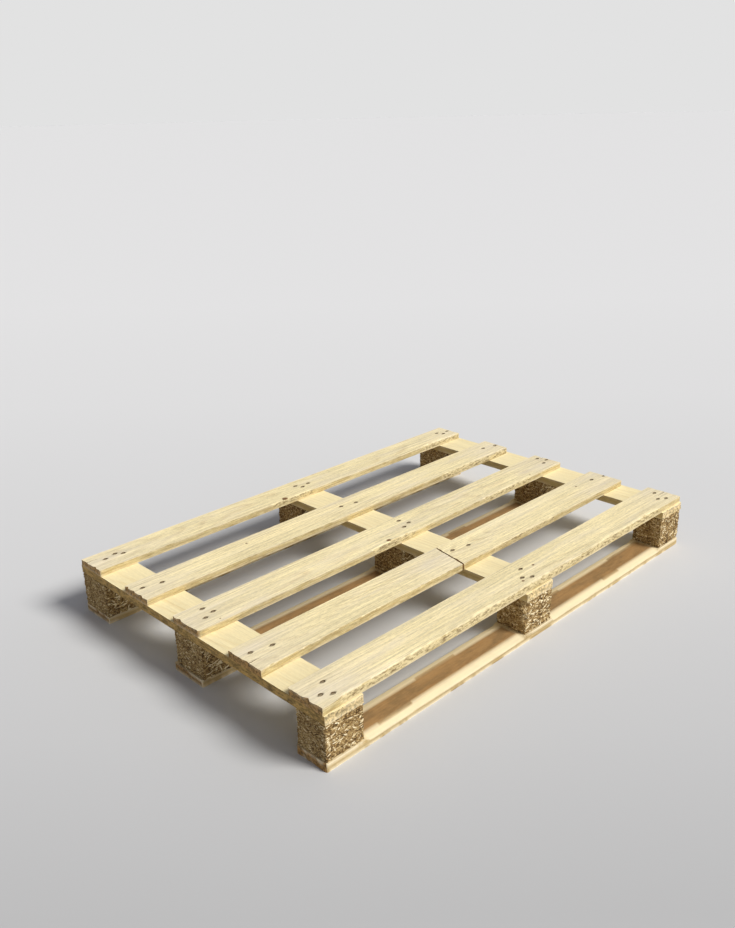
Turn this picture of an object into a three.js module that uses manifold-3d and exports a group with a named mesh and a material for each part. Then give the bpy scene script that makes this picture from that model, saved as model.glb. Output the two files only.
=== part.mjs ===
// A light four-way wooden pallet: deck boards on three stringer boards, nine pressed-chip
// blocks, three bottom boards, and the nails that hold the deck down.
//
// Units are millimetres. +X runs along the deck boards, +Y across them and +Z is up. The
// origin is on the floor under the middle of the pallet. The near end is at -X and the far
// end at +X, and the left side is at +Y and the right side at -Y.

import * as THREE from "three";
import { mergeVertices } from "three/addons/utils/BufferGeometryUtils.js";
import Module from "manifold-3d";

// ---------------------------------------------------------------- driving dimensions

const palletLength = 1200; // the deck boards and the bottom boards
const palletWidth = 800; // the stringer boards

const bottomThickness = 17;
const blockHeight = 77;
const stringerThickness = 18;
const deckThickness = 15;

const deckInset = 5; // from a stringer's end to the outer deck board
const arris = 1; // broken edge along the sawn boards
const buttGap = 1.2; // between two lengths of one deck board

// Deck boards from left to right. Boards 1 and 5 lie deckInset inside the stringer ends,
// board 3 is centred, and boards 2 and 4 lie between them, off the middle by their shift.
const deckWidths = { 1: 81, 2: 86, 3: 89, 4: 96, 5: 89 };
const centreBoardShift = -3;
const secondBoardShift = -4;
const fourthBoardShift = -10;
const deckEndTrims = { 1: 0, 2: 4, 3: 3, 4: 5, 5: 0 }; // short of the far end
const buttSlant = 18; // how far the butt joint of board 4 runs out of square
const buttOverlap = 4.5; // of the near length on the middle stringer, at its longer edge

const stringerWidth = 91;
const nearStringerInset = 1.5;
const farStringerInset = 0;
const middleStringerShift = 5;

// Each row of blocks stands on its own bottom board. The blocks and boards of the outer
// rows are set in from the stringer ends, and those of the centre row off the middle line.
const leftRow = { name: "left", blockWidth: 95, blockInset: 6, boardWidth: 96, boardInset: 1 };
const centreRow = { name: "centre", blockWidth: 90, blockShift: -3, boardWidth: 95, boardShift: 4 };
const rightRow = { name: "right", blockWidth: 74, blockInset: 3.5, boardWidth: 80, boardInset: 0 };
const nearBlockShifts = { left: -1.5, centre: 1.5, right: 1.5 }; // along X, off the stringer

const bottomTrim = 2; // short of the far end
const bottomCornerRadius = 6;
const entryChamferWidth = 15; // eases pallet-truck wheels over the bottom boards
const entryChamferDrop = 5;
const entryChamferStop = 2; // from a block's face to the end of the chamfer

const nailHeadRadius = 4;
const nailHeadThickness = 1.5;
const nailSink = 1.2; // of the head below the deck
const shankRadius = 1.55;
const nailLength = 80; // from the head's top to the point, over a block
const pointLength = 5;
const clinchLength = 8; // bent over under a stringer, where there is no block
const nailClearance = 0.3;
const nailSides = 8;

const nailEdge = 10; // from a nail's middle to the edges of the boards that it joins

// Nails at each crossing, as shares of the reach from the middle of the crossing: along X
// to the stringer's nailing edge, and along Y to the deck board's.
const nailPatterns = {
  1: [[0.76, 0.03], [0.06, -0.2], [-0.23, 0.36]],
  2: [[-0.5, 0.24], [0.68, -0.03]],
  3: [[0.48, 0.66], [0.73, -0.03], [0.03, -0.29]],
  4: [[-0.45, 0.32], [0.79, 0.08]],
  5: [[0.37, 0.38], [-0.42, -0.35], [0.08, -0.7]],
};
const nearLeftPattern = [[-0.06, 0.07], [0.73, 0.33], [1.15, -0.03]]; // the near end of board 1
const nailDrift = { near: -0.17, middle: 0, far: 0.2 }; // along X, from stringer to stringer

// ---------------------------------------------------------------- sizes that follow

const halfLength = palletLength / 2;
const halfWidth = palletWidth / 2;
const blockBase = bottomThickness;
const stringerBase = blockBase + blockHeight;
const deckBase = stringerBase + stringerThickness;
const deckTop = deckBase + deckThickness;
const headTop = deckTop - nailSink;
const headUnderside = headTop - nailHeadThickness;

const stringerCentres = {
  near: -halfLength + nearStringerInset + stringerWidth / 2,
  middle: middleStringerShift,
  far: halfLength - farStringerInset - stringerWidth / 2,
};

// The middle of an outer board or block of the given width, set in from a stringer's end.
const outerCentre = (side, inset, width) => side * (halfWidth - inset - width / 2);

const deckCentres = {
  1: outerCentre(1, deckInset, deckWidths[1]),
  3: centreBoardShift,
  5: outerCentre(-1, deckInset, deckWidths[5]),
};
deckCentres[2] = middleOfGap(1, 3) + secondBoardShift;
deckCentres[4] = middleOfGap(3, 5) + fourthBoardShift;

// The middle of the space between two deck boards.
function middleOfGap(left, right) {
  const leftEdge = deckCentres[left] - deckWidths[left] / 2;
  const rightEdge = deckCentres[right] + deckWidths[right] / 2;
  return (leftEdge + rightEdge) / 2;
}

leftRow.blockCentre = outerCentre(1, leftRow.blockInset, leftRow.blockWidth);
leftRow.boardCentre = outerCentre(1, leftRow.boardInset, leftRow.boardWidth);
centreRow.blockCentre = centreRow.blockShift;
centreRow.boardCentre = centreRow.boardShift;
rightRow.blockCentre = outerCentre(-1, rightRow.blockInset, rightRow.blockWidth);
rightRow.boardCentre = outerCentre(-1, rightRow.boardInset, rightRow.boardWidth);
const rows = [leftRow, centreRow, rightRow];

// ---------------------------------------------------------------- materials

const wood = (color, roughness) => new THREE.MeshStandardMaterial({ color, roughness, metalness: 0 });
const deckWood = wood(0xdcc9a0, 0.8);
const stringerWood = wood(0xeed9a0, 0.72);
const bottomWood = wood(0xc9a86e, 0.78);
const chipWood = wood(0xa58a5a, 0.92);
const nailSteel = new THREE.MeshStandardMaterial({ color: 0x6d6a66, roughness: 0.55, metalness: 0.85 });

// ---------------------------------------------------------------- solids

const wasm = await Module();
wasm.setup();

// A closed three.js geometry as a solid that can be cut and joined.
function toSolid(geometry) {
  const loose = geometry.index ? geometry.toNonIndexed() : geometry;
  const bare = new THREE.BufferGeometry();
  bare.setAttribute("position", loose.getAttribute("position"));
  const merged = mergeVertices(bare, 1e-4);
  const vertProperties = merged.getAttribute("position").array;
  const triVerts = new Uint32Array(merged.index.array);
  return new wasm.Manifold(new wasm.Mesh({ numProp: 3, vertProperties, triVerts }));
}

function toGeometry(solid) {
  const mesh = solid.getMesh();
  const geometry = new THREE.BufferGeometry();
  geometry.setAttribute("position", new THREE.BufferAttribute(mesh.vertProperties, 3));
  geometry.setIndex(new THREE.BufferAttribute(mesh.triVerts, 1));
  const faceted = geometry.toNonIndexed();
  faceted.computeVertexNormals();
  return faceted;
}

function addPiece(group, name, geometry, material, x, y, z) {
  const piece = new THREE.Mesh(geometry, material);
  piece.name = name;
  piece.position.set(x, y, z);
  group.add(piece);
}

// The outline of a sawn board's end, centred across and standing on z = 0.
function boardOutline(width, thickness) {
  const half = width / 2;
  const outline = new THREE.Shape();
  outline.moveTo(-half + arris, 0);
  outline.lineTo(half - arris, 0);
  outline.lineTo(half, arris);
  outline.lineTo(half, thickness - arris);
  outline.lineTo(half - arris, thickness);
  outline.lineTo(-half + arris, thickness);
  outline.lineTo(-half, thickness - arris);
  outline.lineTo(-half, arris);
  outline.closePath();
  return outline;
}

// A shape extruded along X, with its own x across (+Y) and its own y up, centred on x = 0.
function extrudeAlongX(shape, length) {
  const geometry = new THREE.ExtrudeGeometry(shape, { depth: length, bevelEnabled: false });
  geometry.translate(0, 0, -length / 2);
  const turn = new THREE.Matrix4().makeBasis(
    new THREE.Vector3(0, 1, 0),
    new THREE.Vector3(0, 0, 1),
    new THREE.Vector3(1, 0, 0),
  );
  return geometry.applyMatrix4(turn);
}

// A round bar from z = low to z = high.
function upright(radius, low, high) {
  const bar = new THREE.CylinderGeometry(radius, radius, high - low, nailSides);
  bar.rotateX(Math.PI / 2);
  bar.translate(0, 0, (low + high) / 2);
  return bar;
}

// ---------------------------------------------------------------- nails and their bores

// Every nail, with its place, the board and stringer that it goes through, and its foot:
// the height of its point, or of the bend where it is clinched.
function planNails() {
  const nails = [];
  const boreRadius = shankRadius + nailClearance;
  const stringerReach = stringerWidth / 2 - nailEdge;
  for (const [stringer, stringerCentre] of Object.entries(stringerCentres)) {
    for (const board of Object.keys(nailPatterns)) {
      const boardReach = deckWidths[board] / 2 - nailEdge;
      const first = stringer === "near" && board === "1";
      const pattern = first ? nearLeftPattern : nailPatterns[board];
      pattern.forEach(([along, across], index) => {
        const x = stringerCentre + (nailDrift[stringer] + along) * stringerReach;
        const y = deckCentres[board] + across * boardReach;
        const reaches = (row) => Math.abs(y - row.blockCentre) < row.blockWidth / 2 + boreRadius;
        const onBlock = rows.some(reaches);
        const foot = onBlock ? headTop - nailLength : stringerBase - nailClearance - shankRadius;
        const name = `nail_${stringer}_${board}_${"abc"[index]}`;
        const bend = along > 0 ? -1 : 1;
        nails.push({ name, stringer, board, x, y, onBlock, foot, bend });
      });
    }
  }
  return nails;
}
const nails = planNails();

// A driven nail: point, shank and head, turned about Z.
function drivenNail(foot) {
  const profile = [
    new THREE.Vector2(0, foot),
    new THREE.Vector2(shankRadius, foot + pointLength),
    new THREE.Vector2(shankRadius, headUnderside),
    new THREE.Vector2(nailHeadRadius, headUnderside),
    new THREE.Vector2(nailHeadRadius, headTop),
    new THREE.Vector2(0, headTop),
  ];
  const nail = new THREE.LatheGeometry(profile, nailSides);
  nail.rotateX(Math.PI / 2);
  return nail;
}

// A clinched nail: its shank goes right through and its tail is bent over along X.
function clinchedNail(foot, bend) {
  const head = toSolid(upright(nailHeadRadius, headUnderside, headTop));
  const shank = toSolid(upright(shankRadius, foot, headTop - nailHeadThickness / 2));
  const elbow = new THREE.SphereGeometry(shankRadius, nailSides, nailSides / 2);
  elbow.translate(0, 0, foot);
  const tail = new THREE.CylinderGeometry(shankRadius * 0.9, shankRadius * 0.5, clinchLength, nailSides);
  tail.rotateZ(bend * Math.PI / 2);
  tail.translate(bend * clinchLength / 2, 0, foot);
  return toGeometry(head.add(shank).add(toSolid(elbow)).add(toSolid(tail)));
}

// Cuts the nails' bores out of a piece that spans the given heights. The piece's own frame
// is at (x, y, z), and only the nails that the test picks go through it.
function boreFor(solid, { x, y, z, low, high }, test) {
  let bored = solid;
  for (const nail of nails.filter(test)) {
    const bottom = Math.max(low - 1, nail.foot - nailClearance);
    const shaft = upright(shankRadius + nailClearance, bottom, high + 1);
    shaft.translate(nail.x - x, nail.y - y, -z);
    bored = bored.subtract(toSolid(shaft));
    if (high > headUnderside) {
      const recess = upright(nailHeadRadius + nailClearance, headUnderside - nailClearance, high + 1);
      recess.translate(nail.x - x, nail.y - y, -z);
      bored = bored.subtract(toSolid(recess));
    }
  }
  return toGeometry(bored);
}

// ---------------------------------------------------------------- the boards and blocks

// A deck board between two ends. The slants tell how far each end is out of square.
function addDeckBoard(group, name, board, nearEnd, farEnd, nearSlant, farSlant) {
  const width = deckWidths[board];
  const length = farEnd - nearEnd;
  const x = (nearEnd + farEnd) / 2;
  const y = deckCentres[board];
  const geometry = extrudeAlongX(boardOutline(width, deckThickness), length);
  const position = geometry.getAttribute("position");
  for (let i = 0; i < position.count; i += 1) {
    const slant = position.getX(i) < 0 ? nearSlant : farSlant;
    position.setX(i, position.getX(i) + (slant * position.getY(i)) / width);
  }
  const inThisLength = (nail) => nail.board === String(board) && nail.x > nearEnd && nail.x < farEnd;
  const place = { x, y, z: deckBase, low: deckBase, high: deckTop };
  addPiece(group, name, boreFor(toSolid(geometry), place, inThisLength), deckWood, x, y, deckBase);
}

function addDeck(group) {
  for (const board of [1, 2, 3, 5]) {
    const farEnd = halfLength - deckEndTrims[board];
    addDeckBoard(group, `deck_board_${board}`, board, -halfLength, farEnd, 0, 0);
  }
  // Board 4 is two lengths that meet in a slanted butt joint over the middle stringer.
  const stringerEdge = stringerCentres.middle - stringerWidth / 2;
  const butt = stringerEdge + buttOverlap;
  const farEnd = halfLength - deckEndTrims[4];
  addDeckBoard(group, "deck_board_4_near", 4, -halfLength, butt - buttGap / 2, 0, buttSlant);
  addDeckBoard(group, "deck_board_4_far", 4, butt + buttGap / 2, farEnd, buttSlant, 0);
}

function addStringers(group) {
  for (const [stringer, x] of Object.entries(stringerCentres)) {
    const geometry = extrudeAlongX(boardOutline(stringerWidth, stringerThickness), palletWidth);
    geometry.rotateZ(Math.PI / 2);
    const place = { x, y: 0, z: stringerBase, low: stringerBase, high: deckBase };
    const bored = boreFor(toSolid(geometry), place, (nail) => nail.stringer === stringer);
    addPiece(group, `stringer_board_${stringer}`, bored, stringerWood, x, 0, stringerBase);
  }
}

// The x of the block that stands under a stringer in a row.
function blockX(stringer, row) {
  const shift = stringer === "near" ? nearBlockShifts[row.name] : 0;
  return stringerCentres[stringer] + shift;
}

function addBlocks(group) {
  for (const stringer of Object.keys(stringerCentres)) {
    for (const row of rows) {
      const x = blockX(stringer, row);
      const y = row.blockCentre;
      const geometry = new THREE.BoxGeometry(stringerWidth, row.blockWidth, blockHeight);
      geometry.translate(0, 0, blockHeight / 2);
      const place = { x, y, z: blockBase, low: blockBase, high: stringerBase };
      const bored = boreFor(toSolid(geometry), place, (nail) => nail.stringer === stringer && nail.onBlock);
      addPiece(group, `block_${stringer}_${row.name}`, bored, chipWood, x, y, blockBase);
    }
  }
}

// A rectangle with round corners, centred on the origin.
function roundedPlan(length, width, radius) {
  const x = length / 2 - radius;
  const y = width / 2 - radius;
  const plan = new THREE.Shape();
  plan.absarc(x, -y, radius, -Math.PI / 2, 0);
  plan.absarc(x, y, radius, 0, Math.PI / 2);
  plan.absarc(-x, y, radius, Math.PI / 2, Math.PI);
  plan.absarc(-x, -y, radius, Math.PI, (3 * Math.PI) / 2);
  plan.closePath();
  return plan;
}

// The wedge that a stopped entry chamfer takes off one long edge of a bottom board.
function chamferWedge(side, halfBoard, length) {
  const over = 1;
  const grow = 1 + over / entryChamferWidth;
  const wedge = new THREE.Shape();
  wedge.moveTo(side * (halfBoard - entryChamferWidth), bottomThickness);
  wedge.lineTo(side * (halfBoard + over), bottomThickness - entryChamferDrop * grow);
  wedge.lineTo(side * (halfBoard + over), bottomThickness + over);
  wedge.lineTo(side * (halfBoard - entryChamferWidth), bottomThickness + over);
  wedge.closePath();
  return extrudeAlongX(wedge, length);
}

function addBottomBoards(group) {
  const length = palletLength - bottomTrim;
  const x = -bottomTrim / 2;
  for (const row of rows) {
    const plan = roundedPlan(length, row.boardWidth, bottomCornerRadius);
    const options = { depth: bottomThickness, bevelEnabled: false, curveSegments: 4 };
    let board = toSolid(new THREE.ExtrudeGeometry(plan, options));
    const spans = [["near", "middle"], ["middle", "far"]];
    for (const [from, to] of spans) {
      const start = blockX(from, row) + stringerWidth / 2 + entryChamferStop;
      const end = blockX(to, row) - stringerWidth / 2 - entryChamferStop;
      for (const side of [-1, 1]) {
        const wedge = chamferWedge(side, row.boardWidth / 2, end - start);
        wedge.translate((start + end) / 2 - x, 0, 0);
        board = board.subtract(toSolid(wedge));
      }
    }
    addPiece(group, `bottom_board_${row.name}`, toGeometry(board), bottomWood, x, row.boardCentre, 0);
  }
}

function addNails(group) {
  for (const nail of nails) {
    const geometry = nail.onBlock ? drivenNail(nail.foot) : clinchedNail(nail.foot, nail.bend);
    addPiece(group, nail.name, geometry, nailSteel, nail.x, nail.y, 0);
  }
}

// ---------------------------------------------------------------- the pallet

const pallet = new THREE.Group();
addDeck(pallet);
addStringers(pallet);
addBlocks(pallet);
addBottomBoards(pallet);
addNails(pallet);

export default pallet;
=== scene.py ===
# %% [markdown]
# # A light wooden pallet
#
# A pallet is a stack of rough things: sawn softwood boards, blocks of pressed wood chip and
# nails. Nothing on it is polished, so its look lives in small irregularities: grain that runs
# round a knot, a corner knocked off, a strip of bark left on an edge, a nail head driven a
# little below the wood. The packed model gives the place and size of every piece. This file
# builds a worked copy of each one in the same place, and paints it.

# %% Load the packed model
import math
import random

import bmesh
import bpy
from mathutils import Matrix, Vector, noise


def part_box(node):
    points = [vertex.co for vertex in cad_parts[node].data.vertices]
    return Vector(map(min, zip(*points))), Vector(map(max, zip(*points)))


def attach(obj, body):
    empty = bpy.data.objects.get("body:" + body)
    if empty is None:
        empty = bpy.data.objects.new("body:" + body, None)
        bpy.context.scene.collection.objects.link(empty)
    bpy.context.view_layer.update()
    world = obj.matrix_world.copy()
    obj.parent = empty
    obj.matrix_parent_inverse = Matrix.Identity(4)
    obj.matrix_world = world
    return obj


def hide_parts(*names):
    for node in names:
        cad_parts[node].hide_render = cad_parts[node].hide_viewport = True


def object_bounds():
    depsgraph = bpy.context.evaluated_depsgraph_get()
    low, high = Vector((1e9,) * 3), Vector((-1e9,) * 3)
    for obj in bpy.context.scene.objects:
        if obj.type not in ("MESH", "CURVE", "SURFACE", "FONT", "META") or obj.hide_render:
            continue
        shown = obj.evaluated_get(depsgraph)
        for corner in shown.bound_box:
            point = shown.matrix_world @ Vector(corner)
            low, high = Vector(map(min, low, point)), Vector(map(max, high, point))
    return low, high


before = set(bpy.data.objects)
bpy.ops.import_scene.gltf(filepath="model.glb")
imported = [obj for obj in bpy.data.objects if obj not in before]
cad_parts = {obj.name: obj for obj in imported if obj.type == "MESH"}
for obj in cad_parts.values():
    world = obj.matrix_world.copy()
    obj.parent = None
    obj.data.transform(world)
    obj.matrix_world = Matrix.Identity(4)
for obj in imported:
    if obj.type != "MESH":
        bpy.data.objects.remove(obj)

MM = 0.001
cad_box = [list(corner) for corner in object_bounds()]
PALLET_ENDS = (cad_box[0][0], cad_box[1][0])
print("CAD box, in metres:", cad_box)

# %% [markdown]
# ## Camera
#
# The camera stands about a metre above the floor, off the near right corner. It could be
# aimed with a Track To constraint, but three angles say the same thing plainly: how far it
# turns from +Y towards +X, how far it dips, and the degree or so that it is out of level.

# %% Camera
CAMERA_PLACE = (-1.431, -1.363, 1.048)
CAMERA_HEADING = math.radians(44.39)
CAMERA_DIP = math.radians(21.15)
CAMERA_ROLL = math.radians(-1.28)
CAMERA_LENS = 36.05

turn = Matrix.Rotation(-CAMERA_HEADING, 4, "Z")
tip = Matrix.Rotation(math.pi / 2 - CAMERA_DIP, 4, "X")
roll = Matrix.Rotation(CAMERA_ROLL, 4, "Z")
camera_data = bpy.data.cameras.new("camera")
camera_data.lens = CAMERA_LENS
camera = bpy.data.objects.new("camera", camera_data)
camera.matrix_world = Matrix.Translation(CAMERA_PLACE) @ turn @ tip @ roll
bpy.context.collection.objects.link(camera)
bpy.context.scene.camera = camera
bpy.context.scene.view_settings.view_transform = "Standard"
print("camera at", CAMERA_PLACE, "lens", CAMERA_LENS)

# %% [markdown]
# ## Colours
#
# A colour on a screen is gamma-encoded, while a shader works in linear light. Linear numbers
# are hard to read, so every colour in this file is a six-digit screen code, which goes
# through the same conversion.

# %% Colours
GAMMA_KNEE = 0.04045


def paint(code):
    """A colour such as "e1d0a5" as linear red, green, blue and alpha."""
    channels = [int(code[i : i + 2], 16) / 255 for i in (0, 2, 4)]
    linear = [c / 12.92 if c < GAMMA_KNEE else ((c + 0.055) / 1.055) ** 2.4 for c in channels]
    return (*linear, 1.0)


print("a screen's middle grey in linear light:", round(paint("808080")[0], 3))

# %% [markdown]
# ## Shader helpers
#
# A material is a set of nodes, and each could be added and wired by hand. The small class
# below only saves typing: it adds a node, fills its sockets with numbers or links, and hands
# back the output. Its patterns read Object coordinates, so they stay put in the wood.

# %% Shader helpers
MIX_SHARE, MIX_A, MIX_B, MIX_RESULT = 0, 6, 7, 2


class Shader:
    """The nodes of a material or of the sky, with short ways to add more."""

    def __init__(self, owner, surface="Principled BSDF", place="Object"):
        owner.use_nodes = True
        self.owner = owner
        self.tree = owner.node_tree
        self.surface = self.tree.nodes[surface]
        self.place = self.add("TexCoord").outputs[place]

    def add(self, kind, inputs=None, **settings):
        node = self.tree.nodes.new("ShaderNode" + kind)
        for key, value in settings.items():
            setattr(node, key, value)
        for key, value in (inputs or {}).items():
            self.feed(node.inputs[key], value)
        return node

    def feed(self, socket, value):
        if isinstance(value, bpy.types.NodeSocket):
            self.tree.links.new(value, socket)
        else:
            socket.default_value = value

    def math(self, operation, a, b=0.0):
        return self.add("Math", {0: a, 1: b}, operation=operation).outputs[0]

    def rest_of(self, share):
        """1 - share."""
        return self.math("SUBTRACT", 1.0, share)

    def line(self, value, start, slope):
        """start + slope * value."""
        return self.math("ADD", start, self.math("MULTIPLY", value, slope))

    def vector(self, operation, a, b=(0, 0, 0)):
        node = self.add("VectorMath", {0: a, 1: b}, operation=operation)
        return node.outputs["Value" if operation in ("LENGTH", "DOT_PRODUCT") else "Vector"]

    def axes(self, vector):
        return self.add("SeparateXYZ", {"Vector": vector}).outputs

    def attribute(self, name):
        """A number that the mesh carries on its points or faces."""
        return self.add("Attribute", attribute_name=name).outputs["Fac"]

    def noise(self, stretch, detail=3.0, roughness=0.55, place=None, colour=False):
        """Noise whose blobs are about 1 / stretch metres long on each axis."""
        where = self.vector("MULTIPLY", place or self.place, stretch)
        inputs = {"Vector": where, "Scale": 1.0, "Detail": detail, "Roughness": roughness}
        return self.add("TexNoise", inputs).outputs["Color" if colour else "Fac"]

    def step(self, value, low, high, kind="SMOOTHSTEP"):
        """0 below low, 1 above high and smooth (or LINEAR) between them."""
        inputs = {"Value": value, "From Min": low, "From Max": high}
        return self.add("MapRange", inputs, interpolation_type=kind).outputs[0]

    def sway(self, value, *swings):
        """A value moved up and down by noises, each given with how far it moves it."""
        for cloud, amount in swings:
            swing = self.math("MULTIPLY", self.math("SUBTRACT", cloud, 0.5), amount)
            value = self.math("ADD", value, swing)
        return value

    def ramp(self, value, *stops):
        node = self.add("ValToRGB", {"Fac": value})
        elements = node.color_ramp.elements
        while len(elements) < len(stops):
            elements.new(0.5)
        for element, (position, colour) in zip(elements, stops):
            element.position = position
            element.color = colour
        return node.outputs["Color"]

    def mix(self, share, a, b, blend="MIX"):
        node = self.add("Mix", data_type="RGBA", blend_type=blend)
        for index, value in ((MIX_SHARE, share), (MIX_A, a), (MIX_B, b)):
            self.feed(node.inputs[index], value)
        return node.outputs[MIX_RESULT]

    def times(self, a, b):
        return self.mix(1.0, a, b, "MULTIPLY")

    def grey(self, value):
        """A number as the grey colour that multiplies another colour by it."""
        return self.add("CombineXYZ", {0: value, 1: value, 2: value}).outputs[0]

    def finish(self, colour, roughness, height, depth, specular=0.3):
        bump = self.add("Bump", {"Height": height, "Distance": depth, "Strength": 1.0})
        self.feed(self.surface.inputs["Base Color"], colour)
        self.feed(self.surface.inputs["Roughness"], roughness)
        self.feed(self.surface.inputs["Normal"], bump.outputs[0])
        self.surface.inputs["Specular IOR Level"].default_value = specular
        return self.owner


print("node helpers:", ", ".join(name for name in vars(Shader) if name[0] != "_"))

# %% [markdown]
# ## Sawn wood
#
# Wood could be painted as stripes on each face, but then the stripes of the top would not
# meet the arcs of the end. Here the grain is solid instead. Every point knows how far it is
# from the pith of the tree that it was sawn from, and the year rings are steps in that
# distance, so a board's faces, edges and ends all cut through one and the same log. A slow
# noise lets the rings wander.


# %% Year rings
WANDER = 14 * MM
RIPPLE = 2 * MM


def jitter(s, place, stretch, amount):
    """A random push, of up to about half the amount on each axis."""
    cloud = s.noise(stretch, 2.0, place=place, colour=True)
    return s.vector("MULTIPLY", s.vector("SUBTRACT", cloud, (0.5, 0.5, 0.5)), amount)


def ring_distance(s, place, pith):
    """How far each point is from a leaning pith, given as (across, up, lean)."""
    wander = jitter(s, place, (2.2, 9, 9), (0, WANDER, WANDER))
    ripple = jitter(s, place, (14, 60, 60), (0, RIPPLE, RIPPLE))
    x, y, z = s.axes(s.vector("ADD", s.vector("ADD", place, wander), ripple))
    across, up, lean = pith
    rise = s.math("ADD", s.math("SUBTRACT", z, up), s.math("MULTIPLY", x, lean))
    offset = s.add("CombineXYZ", {1: s.math("SUBTRACT", y, across), 2: rise})
    return s.vector("LENGTH", offset.outputs[0])


def late_wood(s, radius, spacing):
    """The dark, hard part of each year's growth, as a share from 0 to 1."""
    year = s.math("FRACT", s.math("DIVIDE", radius, spacing * MM))
    black, dim, white = (0, 0, 0, 1), (0.12, 0.12, 0.12, 1), (1, 1, 1, 1)
    return s.ramp(year, (0.0, black), (0.5, dim), (0.82, white), (1.0, black))


print("rings wander by up to", round(WANDER / 2 / MM), "mm")

# %% [markdown]
# ## Knots and nail stains
#
# A knot is the root of a branch. The rings bulge round it, and its own core is dark and
# hard. A nail leaves a stain instead, which creeps about twice as far along the grain as
# across it. Either could be an image laid on the board, but here both are found from their
# distance to a point on it, so each board can have its own.


# %% Knots and nail stains
BULGE_SHAPE = (0.45, 1, 0)
BULGE_REACH = 2.0
BULGE_PUSH = 2.4
CORE_SHAPE = (0.8, 1, 0)
CORE_FRAY = 0.5
CORE_FADE = 1.35
STAIN_SHAPE = (0.5, 1.15, 0)
STAIN_INNER = 2.5 * MM
STAIN_OUTER = 5 * MM


def knotted(s, radius, knots):
    """The ring distance bent round each knot, and the share of knot core."""
    core = 0.0
    for x, y, size in knots:
        away = s.vector("SUBTRACT", s.place, (x, y, 0))
        around = s.vector("LENGTH", s.vector("MULTIPLY", away, BULGE_SHAPE))
        fall = s.math("POWER", s.math("DIVIDE", around, BULGE_REACH * size), 2.0)
        bulge = s.math("EXPONENT", s.math("MULTIPLY", fall, -1.0))
        radius = s.math("ADD", radius, s.math("MULTIPLY", bulge, BULGE_PUSH * size))
        rim = s.vector("LENGTH", s.vector("MULTIPLY", away, CORE_SHAPE))
        fray = s.math("MULTIPLY", s.noise((130, 130, 130), 2.0), CORE_FRAY * size)
        rim = s.math("ADD", rim, fray)
        core = s.math("MAXIMUM", core, s.rest_of(s.step(rim, size, CORE_FADE * size)))
    return radius, core


def stained(s, nails, streak):
    """The share of dark stain round each nail."""
    stain = 0.0
    for x, y in nails:
        away = s.vector("MULTIPLY", s.vector("SUBTRACT", s.place, (x, y, 0)), STAIN_SHAPE)
        ring = s.rest_of(s.step(s.vector("LENGTH", away), STAIN_INNER, STAIN_OUTER))
        stain = s.math("MAXIMUM", stain, ring)
    return s.math("MULTIPLY", stain, s.line(streak, 0.1, 1.2))


print("stains reach", round(STAIN_OUTER / STAIN_SHAPE[0] / MM, 1), "mm along the grain")

# %% [markdown]
# ## Fibres and streaks
#
# Over the rings lie fibres, flecks, streaks and broad bands. Each could be drawn in its own
# way, but all are one kind of noise, stretched more or less along the grain, so a short table
# says them all. Their shades add up to one grey, which multiplies the wood.


# %% Fibres and streaks
# Each noise: its stretch, detail and roughness, and how strongly it shades the wood.
GRAIN = {
    "streak": ((3.0, 120, 120), 6.0, 0.75, 0.85),
    "band": ((1.2, 26, 26), 3.0, 0.5, 0.35),
    "fleck": ((11, 260, 260), 4.0, 0.7, 0.8),
    "fibre": ((8, 420, 420), 4.0, 0.7, 0.6),
    "speck": ((90, 260, 260), 4.0, 0.8, 0.9),
}


def grain_shade(s, place, contrast):
    """The fibre, the streak, and the grey of all the noises, which multiplies the wood."""
    clouds = {name: s.noise(*shape, place=place) for name, (*shape, _) in GRAIN.items()}
    swings = [(clouds[name], amount * contrast) for name, (*_, amount) in GRAIN.items()]
    return clouds["fibre"], clouds["streak"], s.grey(s.sway(1.0, *swings))


print(len(GRAIN), "noises make the grain")

# %% [markdown]
# ## Weather
#
# The top of an old board goes grey where rain and feet reach it, and most of all near its
# ends. The grey could be a mask painted by hand. Here a noise spreads it, the distance to the
# ends strengthens it, and the direction that each face looks in keeps it on top.


# %% Weather
UPWARD = (0.3, 0.8)
END_REACH = 0.2
END_GREY = 0.7
MOST_GREY = 0.9


def weathering(s, place, axis, ends, ageing, upward):
    """How grey the wood has gone, as a share."""
    weather = s.step(s.noise((5, 30, 30), 5.0, 0.65, place=place), 0.42, 0.78)
    lengthwise = s.axes(s.place)[axis]
    for end in ends:
        from_end = s.math("ABSOLUTE", s.math("SUBTRACT", lengthwise, end))
        near_end = s.rest_of(s.step(from_end, 0.0, END_REACH))
        weather = s.math("ADD", weather, s.math("MULTIPLY", near_end, END_GREY))
    weather = s.math("MULTIPLY", s.math("MULTIPLY", weather, ageing), upward)
    return s.math("MINIMUM", weather, MOST_GREY)


print("ends go grey over", END_REACH, "metres")

# %% [markdown]
# ## Sides, ends, knots and bark
#
# A saw leaves long smears on a board's sides, and the sawn ends soak up dirt and look dark. A
# wane, the round edge of the tree, keeps scraps of bark. One tone for all of them would look
# cut from paper, so each has a noise of its own.


# %% Sides, ends, knots and bark
PATCHY = (0.36, 0.62)
SMEAR_TONE = paint("b3a284")
KNOT_DARK, KNOT_PALE = paint("5f4224"), paint("96704a")
BARK_DARK, BARK_PALE = paint("75603f"), paint("d8c696")


def sawn_side(s, place, colour, side_tone, contrast):
    smear = s.step(s.noise((26, 360, 360), 6.0, 0.75, place=place), *PATCHY)
    share = s.math("MULTIPLY", s.rest_of(smear), 0.8 * contrast)
    return s.times(colour, s.mix(share, side_tone, SMEAR_TONE))


def sawn_end(s, end_tone):
    dirt = s.step(s.noise((150, 170, 170), 5.0, 0.8), *PATCHY)
    return s.times(end_tone, s.grey(s.line(dirt, 0.45, 1.15)))


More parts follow.
